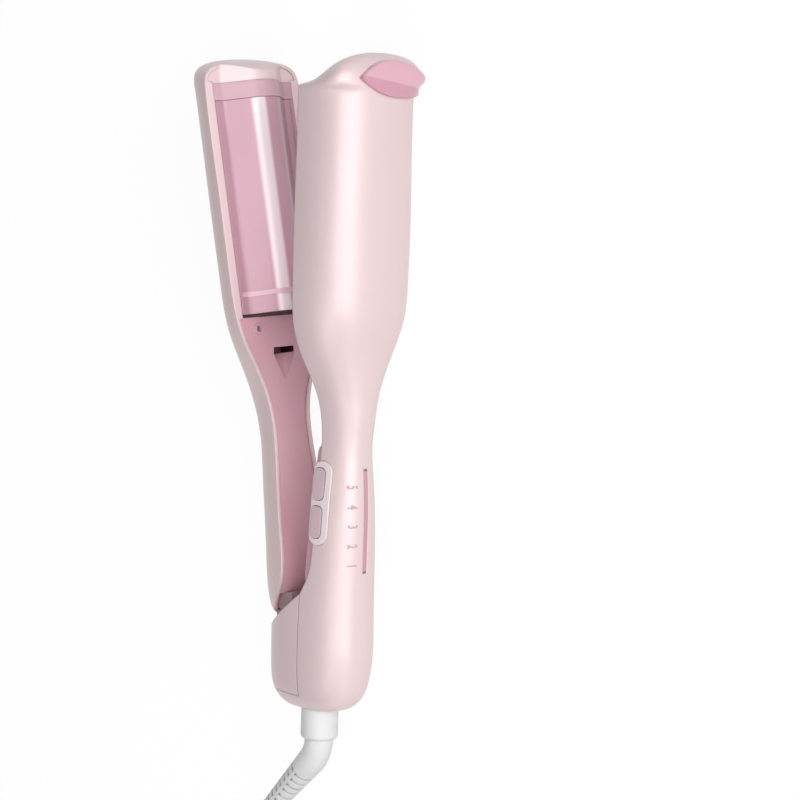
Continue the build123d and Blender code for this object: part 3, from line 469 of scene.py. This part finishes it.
# Metals: sheet, ground pin, plated screws and spring wire.
SHEET_STEEL = Finish(
    "rolled_steel_sheet", "b9b9bd", "a9a9ae", 0.34, Grain.DRAWN, Run.ALONG_TOOL, metallic=1.0)
PIN_STEEL = Finish("ground_steel", "c9c9cc", "bcbcc0", 0.18, Grain.DRAWN, Run.ACROSS_TOOL, metallic=1.0)
SCREW_STEEL = Finish(
    "zinc_plated_steel", "b9b4b8", "a49fa4", 0.3, Grain.SATIN, metallic=1.0, drift_mm=2.0)
SPRING_STEEL = Finish("spring_wire_steel", "8c8c90", "77777c", 0.32, Grain.DRAWN, metallic=1.0)
# What lies inside the tool, or shows only at the hinge and at the cord's socket.
BUSH = Finish("moulded_acetal", "c8c4c6", "bcb8ba", 0.42, Grain.SATIN)
CERAMIC = Finish("sintered_ceramic", "d9d4cc", "cbc5bb", 0.6, Grain.SPARK_ERODED)
CLAMP = Finish(
    "folded_aluminium_sheet", "b8babd", "a7aaae", 0.3, Grain.DRAWN, Run.ALONG_TOOL, metallic=1.0)
BOARD = Finish(
    "solder_mask_laminate", "2f6b45", "24563a", 0.35, Grain.SPARK_ERODED, coat=0.4, drift_mm=3.0)
EPOXY = Finish("moulded_epoxy", "2a2a2c", "222224", 0.5, Grain.SPARK_ERODED)
KNUCKLE = Finish("glass_filled_polyamide", "bba3a8", "ae969b", 0.44, Grain.SPARK_ERODED)
# White PVC of lead and relief: dull sheen, with grey shade painted into the grooves.
PVC = Finish(
    "moulded_white_pvc", "f8f8f8", "f0f1f2", 0.4, Grain.SATIN, specular=0.4, drift_mm=12.0, crevice=0.75)
STRAP = Finish("pvc_strap", "e2e2e4", "d6d6d8", 0.45, Grain.SATIN)
NICKEL = Finish(
    "nickel_plated_brass", "c9c6c0", "bbb7af", 0.2, Grain.DRAWN, Run.ALONG_TOOL, metallic=1.0)
# Pad-printed ink of the scale figures.
INK = Finish("pad_printing_ink", "dcb4be", "d3a7b2", 0.5, Grain.POLISHED, drift_mm=1.0)

SLOT_FINISH = {
    "pearl_pink_shell": PEARL_SHELL, "deep_pink_liner": LINER, "pink_plate": PLATE, "pink_cap": CAP,
    "soft_pink_grip": GRIP, "pale_button": BUTTON, "pink_window": WINDOW, "bare_steel": SHEET_STEEL,
    "pin_steel": PIN_STEEL, "screw_steel": SCREW_STEEL, "spring_steel": SPRING_STEEL, "grey_bush": BUSH,
    "heater_ceramic": CERAMIC, "clamp_aluminium": CLAMP, "board_green": BOARD, "component_black": EPOXY,
    "knuckle_plastic": KNUCKLE, "white_cord": PVC, "tie_white": STRAP, "plug_brass": NICKEL,
}
# nodes whose surface differs from the rest of their slot
NODE_FINISH = {
    "arm_wave_plate": LIT_PLATE, "arm_plate_band": BAND, "main_plate_band": BAND, "arm_tip_grip": ARM_GRIP,
    "button_bezel": BEZEL, "arm_inner_shell": ARM_LINER,
}


class Finishes:
    """Builds each finish once and hands out its material."""

    def __init__(self) -> None:
        """Starts with no material built."""
        self.made: dict[str, bpy.types.Material] = {}

    def of(self, finish: Finish) -> bpy.types.Material:
        """Gives the material of a finish.

        Args:
            finish: the finish.

        Returns:
            Its material, built on first use.
        """
        if finish.name not in self.made:
            self.made[finish.name] = finish.material()
        return self.made[finish.name]


# ---------------------------------------------------------------- sub-assemblies
@dataclass
class CadPieces:
    """The nodes that come from the CAD model, each dressed in its own finish or that of its slot."""

    finishes: Finishes

    def dress(self) -> int:
        """Gives every CAD node its material.

        Returns:
            The number of nodes.
        """
        slots = {row["node"]: row["material_slot"] for row in frame["record"]["subparts"]}
        for name, node in frame["nodes"].items():
            finish = NODE_FINISH.get(name, SLOT_FINISH[slots[name]])
            material = self.finishes.of(finish)
            if node.data.materials:
                for index in range(len(node.data.materials)):
                    node.data.materials[index] = material
            else:
                node.data.materials.append(material)
        return len(slots)


# Screws: sides of the round parts.
HEAD_SIDES, SHANK_SIDES = 40, 24
# As shares of the head's height: its straight rim, the crown above it, and the rim's middle from the top.
RIM, CROWN, RIM_MIDDLE = 0.7, 0.3, -0.65
# As shares of the head's radius: the crown's flat top, the shank, and a recess bar's length and width.
CROWN_TOP, SHANK_WIDTH, BAR_LENGTH, BAR_WIDTH = 0.8, 0.55, 1.15, 0.3


@dataclass
class ScrewSet:
    """Pan-head screws with a cross recess, all facing one way.

    Attributes:
        finishes: where the steel comes from.
        name: name of the piece.
        body: body that carries the screws.
        node: CAD node that the piece stands for.
        places: middle of each head's top.
        facing: way in which the heads face.
        head_radius: radius of the head.
        head_height: height of the head.
        shank: length of the shank.
    """

    finishes: Finishes
    name: str
    body: str
    node: str
    places: list[Vector]
    facing: Vector
    head_radius: float
    head_height: float = 1.4 * MM
    shank: float = 4.0 * MM

    def tree(self) -> bpy.types.GeometryNodeTree:
        """Builds the tree that puts one screw on every point of a mesh.

        Returns:
            The node tree, with the sizes as its named inputs.
        """
        tree = bpy.data.node_groups.new(self.name + "_tree", "GeometryNodeTree")
        for label, kind in (("Geometry", "Geometry"), ("Head radius", "Float"), ("Head height", "Float"),
                            ("Shank", "Float"), ("Turn", "Vector")):
            tree.interface.new_socket(label, in_out="INPUT", socket_type="NodeSocket" + kind)
        tree.interface.new_socket("Geometry", in_out="OUTPUT", socket_type="NodeSocketGeometry")
        given = add_node(tree, "NodeGroupInput").outputs
        radius, height, shank = given["Head radius"], given["Head height"], given["Shank"]

        def times(value: Socket, share: float) -> Socket:
            """Multiplies a size by a share."""
            return maths(tree, "MULTIPLY", value, share)

        def lifted(mesh: Socket, amount: Socket) -> Socket:
            """Moves a mesh along the screw's axis."""
            offset = add_node(tree, "ShaderNodeCombineXYZ", {"Z": amount})
            return add_node(tree, "GeometryNodeTransform", {
                "Geometry": mesh, "Translation": offset.outputs["Vector"]}).outputs["Geometry"]

        skirt = add_node(tree, "GeometryNodeMeshCylinder", {
            "Vertices": HEAD_SIDES, "Radius": radius, "Depth": times(height, RIM)})
        crown = add_node(tree, "GeometryNodeMeshCone", {
            "Vertices": HEAD_SIDES, "Radius Top": times(radius, CROWN_TOP), "Radius Bottom": radius,
            "Depth": times(height, CROWN)})
        stem = add_node(tree, "GeometryNodeMeshCylinder", {
            "Vertices": SHANK_SIDES, "Radius": times(radius, SHANK_WIDTH), "Depth": shank})
        stem_middle = maths(tree, "SUBTRACT", times(shank, -0.5), height)
        head = add_node(tree, "GeometryNodeMeshBoolean", operation="UNION")
        for part, amount in ((skirt, times(height, RIM_MIDDLE)), (crown, times(height, -CROWN)),
                             (stem, stem_middle)):
            tree.links.new(lifted(part.outputs["Mesh"], amount), head.inputs["Mesh 2"])
        cut = add_node(
            tree, "GeometryNodeMeshBoolean", {"Mesh 1": head.outputs["Mesh"]}, operation="DIFFERENCE")
        for long_x, long_y in ((BAR_LENGTH, BAR_WIDTH), (BAR_WIDTH, BAR_LENGTH)):
            size = add_node(tree, "ShaderNodeCombineXYZ", {
                "X": times(radius, long_x), "Y": times(radius, long_y), "Z": height})
            bar = add_node(tree, "GeometryNodeMeshCube", {"Size": size.outputs["Vector"]})
            tree.links.new(bar.outputs["Mesh"], cut.inputs["Mesh 2"])
        placed = add_node(tree, "GeometryNodeInstanceOnPoints", {
            "Points": given["Geometry"], "Instance": cut.outputs["Mesh"], "Rotation": given["Turn"]})
        real = add_node(tree, "GeometryNodeRealizeInstances", {"Geometry": placed.outputs["Instances"]})
        dressed = add_node(tree, "GeometryNodeSetMaterial", {
            "Geometry": real.outputs["Geometry"], "Material": self.finishes.of(SCREW_STEEL)})
        add_node(tree, "NodeGroupOutput", {0: dressed.outputs["Geometry"]})
        return tree

    def build(self) -> bpy.types.Object:
        """Makes the screws as one plain mesh on their body.

        Returns:
            The finished piece.
        """
        seed = bpy.data.meshes.new(self.name + "_points")
        seed.from_pydata([tuple(place) for place in self.places], [], [])
        grown = linked(self.name + "_seed", seed)
        modifier = grown.modifiers.new("screws", "NODES")
        modifier.node_group = self.tree()
        values = {
            "Head radius": self.head_radius, "Head height": self.head_height, "Shank": self.shank,
            "Turn": tuple(self.facing.to_track_quat("Z", "Y").to_euler())}
        for item in modifier.node_group.interface.items_tree:
            if item.in_out == "INPUT" and item.name in values:
                modifier[item.identifier] = values[item.name]
        return finished(grown, self.name, self.body, self.node)


def finished(grown: bpy.types.Object, name: str, body: str, node: str) -> bpy.types.Object:
    """Turns an object with live nodes into a plain mesh piece on its body.

    Args:
        grown: the object with the modifier.
        name: name of the finished piece.
        body: body that the piece rides on.
        node: CAD node that the piece stands for.

    Returns:
        The finished piece.
    """
    evaluated = grown.evaluated_get(bpy.context.evaluated_depsgraph_get())
    mesh = bpy.data.meshes.new_from_object(evaluated)
    grown.modifiers.clear()
    bpy.data.objects.remove(grown)
    mesh.name = name
    piece = linked(name, mesh)
    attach(piece, body)
    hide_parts(node)
    return piece


@dataclass
class TemperatureScale:
    """Printed figures beside the strip on the handle, 1 nearest to the base.

    Attributes:
        finishes: where the ink comes from.
        figures: number of figures.
        first_mm: X of the first figure.
        pitch_mm: distance between figures.
        middle_mm: Z of the middle of the figures.
        height_mm: height of a figure, round the handle.
        narrow: share to which a figure's width is narrowed.
        skin_mm: thickness of the ink.
        bolder: amount by which the outline of a figure is widened.
        outside_mm: Y, off the handle, from which the figures are thrown onto it.
        splits: times that a figure's mesh is divided, to follow the curved handle.
        cuts: cuts of each edge in one such division.
    """

    finishes: Finishes
    figures: int = 5
    first_mm: float = 75.8
    pitch_mm: float = 9.1
    middle_mm: float = 6.6
    height_mm: float = 4.6
    narrow: float = 0.62
    skin_mm: float = 0.03
    bolder: float = 0.035
    outside_mm: float = -60.0
    splits: int = 2
    cuts: int = 3

    def figure(self, number: int) -> bpy.types.Mesh:
        """Makes one figure as a flat mesh, 1 unit high and centred.

        Args:
            number: the figure.

        Returns:
            The mesh.
        """
        text = bpy.data.curves.new("figure", "FONT")
        text.body = str(number)
        text.align_x, text.align_y = "CENTER", "CENTER"
        text.offset = self.bolder
        holder = linked("figure", text)
        bpy.context.view_layer.update()
        mesh = bpy.data.meshes.new_from_object(
            holder.evaluated_get(bpy.context.evaluated_depsgraph_get()))
        bpy.data.objects.remove(holder)
        divided = bmesh.new()
        divided.from_mesh(mesh)
        bmesh.ops.triangulate(divided, faces=divided.faces)
        for _ in range(self.splits):
            bmesh.ops.subdivide_edges(divided, edges=divided.edges, cuts=self.cuts, use_grid_fill=True)
        divided.to_mesh(mesh)
        divided.free()
        across = [v.co.x for v in mesh.vertices]
        up = [v.co.y for v in mesh.vertices]
        middle_x, middle_y = (min(across) + max(across)) / 2, (min(up) + max(up)) / 2
        tall = max(up) - min(up)
        for vertex in mesh.vertices:
            vertex.co.x = (vertex.co.x - middle_x) / tall
            vertex.co.y = (vertex.co.y - middle_y) / tall
        return mesh

    def build(self) -> bpy.types.Object:
        """Lays the figures on the casing.

        Returns:
            The finished piece.
        """
        casing = frame["nodes"]["main_outer_shell"].data
        casing_tree = BVHTree.FromPolygons(
            [v.co.copy() for v in casing.vertices], [tuple(p.vertices) for p in casing.polygons])
        onto_handle = Vector((0, 1, 0))
        points, faces = [], []
        for number in range(1, self.figures + 1):
            mesh = self.figure(number)
            x_mm = self.first_mm + (number - 1) * self.pitch_mm
            start = len(points)
            for vertex in mesh.vertices:
                across = vertex.co.x * self.height_mm * self.narrow
                up = vertex.co.y * self.height_mm
                place = from_working(x_mm - across, self.outside_mm, self.middle_mm - up)
                hit, normal, _, _ = casing_tree.ray_cast(place, onto_handle)
                points.append(hit + normal * self.skin_mm * MM)
            for polygon in mesh.polygons:
                corners = [start + i for i in polygon.vertices]
                a, b, c = (points[i] for i in corners[:3])
                if (b - a).cross(c - a).dot(onto_handle) > 0:
                    corners.reverse()
                faces.append(corners)
        made = bpy.data.meshes.new("scale_figures")
        made.from_pydata([tuple(p) for p in points], [], faces)
        made.materials.append(self.finishes.of(INK))
        piece = linked("scale_figures", made)
        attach(piece, "handle")
        return piece


# Control points of the lead in the shared frame, in metres: from the relief's end to the coil, and into
# the plug.
LEAD_START = (
    (-0.181888, 0.014758, 0.03033),
    (-0.196515, 0.028398, 0.03033),
    (-0.22617, 0.04915, 0.01883),
    (-0.25317, 0.06165, 0.00783),
    (-0.28117, 0.06390, 0.00335),
    (-0.30317, 0.06430, 0.00335),
)
LEAD_END = ((-0.3611, 0.0072, 0.0079), (-0.36092, 0.00015, 0.00685))


@dataclass
class MainsLead:
    """The lead from the relief's end down to the surface, into its coil and the plug.

    Attributes:
        finishes: where the PVC comes from.
        diameter: diameter of the lead.
        coil_middle: middle of the coil.
        outer_turn: radius of the line of the outermost turn.
        turns: number of turns, in on the lower layer and out on the upper one.
        steps: control points on each turn.
        start_degrees: where on the circle the coil begins, from +X.
        layers: height of the lead's line in the lower and in the upper layer.
        climb_turns: share of a turn over which the lead climbs from one layer to the other.
        length: length from the relief to the plug; not used by the code.
    """

    finishes: Finishes
    diameter: float = 6.5 * MM
    coil_middle: tuple[float, float] = (-0.31517, 0.01815)
    outer_turn: float = 46.2 * MM
    turns: float = 6.25
    steps: int = 16
    start_degrees: float = 90
    layers: tuple[float, float] = (0.00335, 0.00985)
    climb_turns: float = 0.3
    length: float = 1.56

    def route(self) -> list[Point]:
        """Gives the control points of the lead.

        Returns:
            The points in the shared frame.
        """
        points = list(LEAD_START)
        middle_x, middle_y = self.coil_middle
        low, high = self.layers
        count = int(self.turns * self.steps)
        for step in range(1, count + 1):
            turn = step / self.steps
            angle = math.radians(self.start_degrees + 360 * turn)
            inward = min(turn, self.turns - turn)
            radius = self.outer_turn - self.diameter * inward
            climb = min(1.0, max(0.0, (turn - self.turns / 2) / self.climb_turns + 0.5))
            points.append((
                middle_x + radius * math.cos(angle), middle_y + radius * math.sin(angle),
                low + (high - low) * climb,
            ))
        points.extend(LEAD_END)
        return points

    def build(self) -> bpy.types.Object:
        """Returns:
            The finished piece.
        """
        route = self.route()
        curve = bpy.data.curves.new("mains_lead", "CURVE")
        curve.dimensions = "3D"
        spline = curve.splines.new("NURBS")
        spline.points.add(len(route) - 1)
        for point, place in zip(spline.points, route):
            point.co = (*place, 1.0)
        spline.order_u = 3
        spline.use_endpoint_u = True
        curve.resolution_u = 10
        curve.bevel_depth = self.diameter / 2
        curve.bevel_resolution = 5
        curve.use_fill_caps = True
        curve.materials.append(self.finishes.of(PVC))
        piece = linked("mains_lead", curve)
        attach(piece, "cord")
        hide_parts("power_cord", "cord_coil")
        return piece


# ---------------------------------------------------------------- studio
FRAME_PX = 800    # side of the square frame that the camera is given in
SENSOR_MM = 36.0
HEAD_MIDDLE = from_working(180, 0, 0)
ALONG_TOOL = Vector((1, 0, 0))


@dataclass
class Studio:
    """Pale floor, soft light and the camera.

    Attributes:
        aim_mm: point of the tool's drawing on the camera's axis before the shift.
        tilt: turn of the camera round the tool's long axis, in degrees.
        raise_to_tip: turn of the camera towards the tip, in degrees.
        roll: turn of the camera round its own axis, in degrees.
        distance_mm: distance from the aim.
        focal_px: focal length in pixels of the frame.
        aim_px: where the aim falls in the frame.
        world_light: strength of the world's light on the tool.
        horizon: height of view up to which the backdrop is at its brightest, as the sine of the angle.
        overhead: height of view from which it is at its darkest.
        ceiling: strength of the backdrop where it is darkest.
        paper: colour of the world's light and of the backdrop, sRGB hex.
        floor_half: half the side of the floor, in metres.
        floor_grey: grey of the floor as it throws light on the tool.
        floor_seen_grey: grey of the floor as the camera and glosses see it, under its own glow.
        floor_glow: strength of that glow, which keeps the floor white.
    """

    aim_mm: Point = (155.0, 0.0, 0.0)
    tilt: float = 44.99
    raise_to_tip: float = 8.132
    roll: float = 1.733
    distance_mm: float = 1470.9
    focal_px: float = 3191.5
    aim_px: tuple[float, float] = (336.258, 388.7)
    world_light: float = 0.3
    horizon: float = 0.1
    overhead: float = 0.55
    ceiling: float = 0.35
    paper: str = "fdfdfd"
    floor_half: float = 6.0
    floor_grey: float = 0.55
    floor_seen_grey: float = 0.16
    floor_glow: float = 0.91

    def axes(self) -> tuple[Vector, Vector, Vector]:
        """Gives the camera's right, up and back directions."""
        a, e, r = (math.radians(v) for v in (self.tilt, self.raise_to_tip, self.roll))
        back = Vector((math.sin(e), -math.sin(a) * math.cos(e), math.cos(a) * math.cos(e)))
        right = Vector((0.0, -math.cos(a), -math.sin(a)))
        up = back.cross(right)
        return (right * math.cos(r) + up * math.sin(r), up * math.cos(r) - right * math.sin(r), back)

    def camera(self) -> None:
        """Makes the camera."""
        right, up, back = self.axes()
        data = bpy.data.cameras.new("studio_camera")
        data.sensor_width = SENSOR_MM
        data.lens = self.focal_px * SENSOR_MM / FRAME_PX
        data.shift_x = (FRAME_PX / 2 - self.aim_px[0]) / FRAME_PX
        data.shift_y = (self.aim_px[1] - FRAME_PX / 2) / FRAME_PX
        data.clip_start, data.clip_end = 0.05, 50.0
        camera = linked("studio_camera", data)
        turned = Matrix((right, up, back)).transposed().to_4x4()
        turned.translation = from_working(*self.aim_mm) + back * self.distance_mm * MM
        camera.matrix_world = turned
        bpy.context.scene.camera = camera

    def lamp(self, name: str, towards: Vector, distance: float, size: tuple[float, float], watts: float,
             aim: Vector = HEAD_MIDDLE, upright: Vector = ALONG_TOOL) -> bpy.types.Object:
        """Makes one soft box that faces the tool.

        Args:
            name: name of the lamp.
            towards: direction from the aim to the lamp.
            distance: distance from the aim, in metres.
            size: width and height of the box, in metres.
            watts: power of the lamp.
            aim: point that the lamp faces.
            upright: direction of the box's height.

        Returns:
            The lamp.
        """
        data = bpy.data.lights.new(name, "AREA")
        data.shape = "RECTANGLE"
        data.size, data.size_y = size
        data.energy = watts
        lamp = linked(name, data)
        back = towards.normalized()
        tall = (upright - back * upright.dot(back)).normalized()
        turned = Matrix((tall.cross(back), tall, back)).transposed().to_4x4()
        turned.translation = aim + back * distance
        lamp.matrix_world = turned
        return lamp

    def lights(self) -> None:
        """Puts up the soft boxes."""
        right, _, back = self.axes()
        self.lamp("key_box", towards=back + right * 0.5, distance=2.0, size=(2.6, 1.9), watts=36.0)
        # a small weak box over the handles brightens the side of them that faces up
        self.lamp(
            "handle_box", towards=Vector((-0.25, -0.42, 0.87)), distance=0.42, size=(0.3, 0.3), watts=0.3,
            aim=from_working(70, -8, 0))
        # a narrow strip between the arms, which the camera doesn't see, lights the crest of the moving jaw
        strip = self.lamp(
            "crest_strip", towards=Vector((0.22, -1, 0.35)), distance=0.03, size=(0.012, 0.11), watts=0.009,
            aim=from_working(240, 40, 7), upright=Vector((0.97, 0.22, 0)))
        strip.visible_camera = False

    def world(self) -> None:
        """Sets the world's even light, and the brighter backdrop that only the camera and glosses see."""
        world = bpy.data.worlds.new("studio_world")
        bpy.context.scene.world = world
        tree = emptied(world)
        seen = seen_directly(tree)
        # bright at the horizon and darker overhead, as in a room with a dark ceiling
        way = add_node(tree, "ShaderNodeTexCoord").outputs["Generated"]
        backdrop = add_node(tree, "ShaderNodeMapRange", {
            "Value": along_axis(tree, way, "Z"), "From Min": self.horizon, "From Max": self.overhead,
            "To Min": 1.0, "To Max": self.ceiling}, interpolation_type="SMOOTHSTEP")
        strength = add_node(tree, "ShaderNodeMapRange", {
            "Value": seen, "To Min": self.world_light, "To Max": backdrop.outputs["Result"]})
        back_light = add_node(tree, "ShaderNodeBackground", {
            "Color": linear(self.paper), "Strength": strength.outputs["Result"]})
        add_node(tree, "ShaderNodeOutputWorld", {"Surface": back_light.outputs["Background"]})

    def floor(self) -> None:
        """Lays the pale paper that the tool lies on."""
        mesh = bpy.data.meshes.new("paper_floor")
        half = self.floor_half
        mesh.from_pydata(
            [(-half, -half, 0), (half, -half, 0), (half, half, 0), (-half, half, 0)], [], [(0, 1, 2, 3)])
        floor = linked("paper_floor", mesh)
        made = bpy.data.materials.new("white_paper")
        tree = emptied(made)
        seen = seen_directly(tree)
        plain = add_node(tree, "ShaderNodeBsdfDiffuse", {"Color": grey(self.floor_grey)})
        faint = add_node(tree, "ShaderNodeBsdfDiffuse", {"Color": grey(self.floor_seen_grey)})
        glow = add_node(tree, "ShaderNodeEmission", {"Color": grey(1), "Strength": self.floor_glow})
        lit = add_node(tree, "ShaderNodeAddShader", {0: faint.outputs[0], 1: glow.outputs[0]})
        mix = add_node(tree, "ShaderNodeMixShader", {0: seen, 1: plain.outputs[0], 2: lit.outputs[0]})
        add_node(tree, "ShaderNodeOutputMaterial", {"Surface": mix.outputs[0]})
        mesh.materials.append(made)

    def build(self) -> None:
        """Sets up camera, lights and floor."""
        bpy.context.scene.view_settings.view_transform = "Standard"
        self.camera()
        self.lights()
        self.world()
        self.floor()


def main() -> None:
    """Builds the scene piece by piece."""
    logging.basicConfig(level=logging.INFO, format="%(message)s")
    finishes = Finishes()
    LOG.info("dressed %d nodes", CadPieces(finishes).dress())
    arm_facing = Euler((0, 0, math.radians(OPEN_DEGREES))).to_matrix() @ Vector((0, -1, 0))
    plate_screws = ScrewSet(
        finishes, "plate_screws", body="arm", node="arm_screws",
        places=[opened(181, 2.0, 15 * side) for side in (-1, 1)], facing=arm_facing,
        head_radius=1.35 * MM, shank=7.0 * MM)
    LOG.info("made %s", plate_screws.build().name)
    liner_screws = ScrewSet(
        finishes, "liner_screws", body="handle", node="handle_screws",
        places=[from_working(138, -5.9, 0), from_working(172, -2.3, 0)], facing=Vector((0, 1, 0)),
        head_radius=2.35 * MM)
    LOG.info("made %s", liner_screws.build().name)
    LOG.info("made %s", TemperatureScale(finishes).build().name)
    LOG.info("made %s", MainsLead(finishes).build().name)
    Studio().build()
    LOG.info("studio ready")


if __name__ == "__main__":
    main()
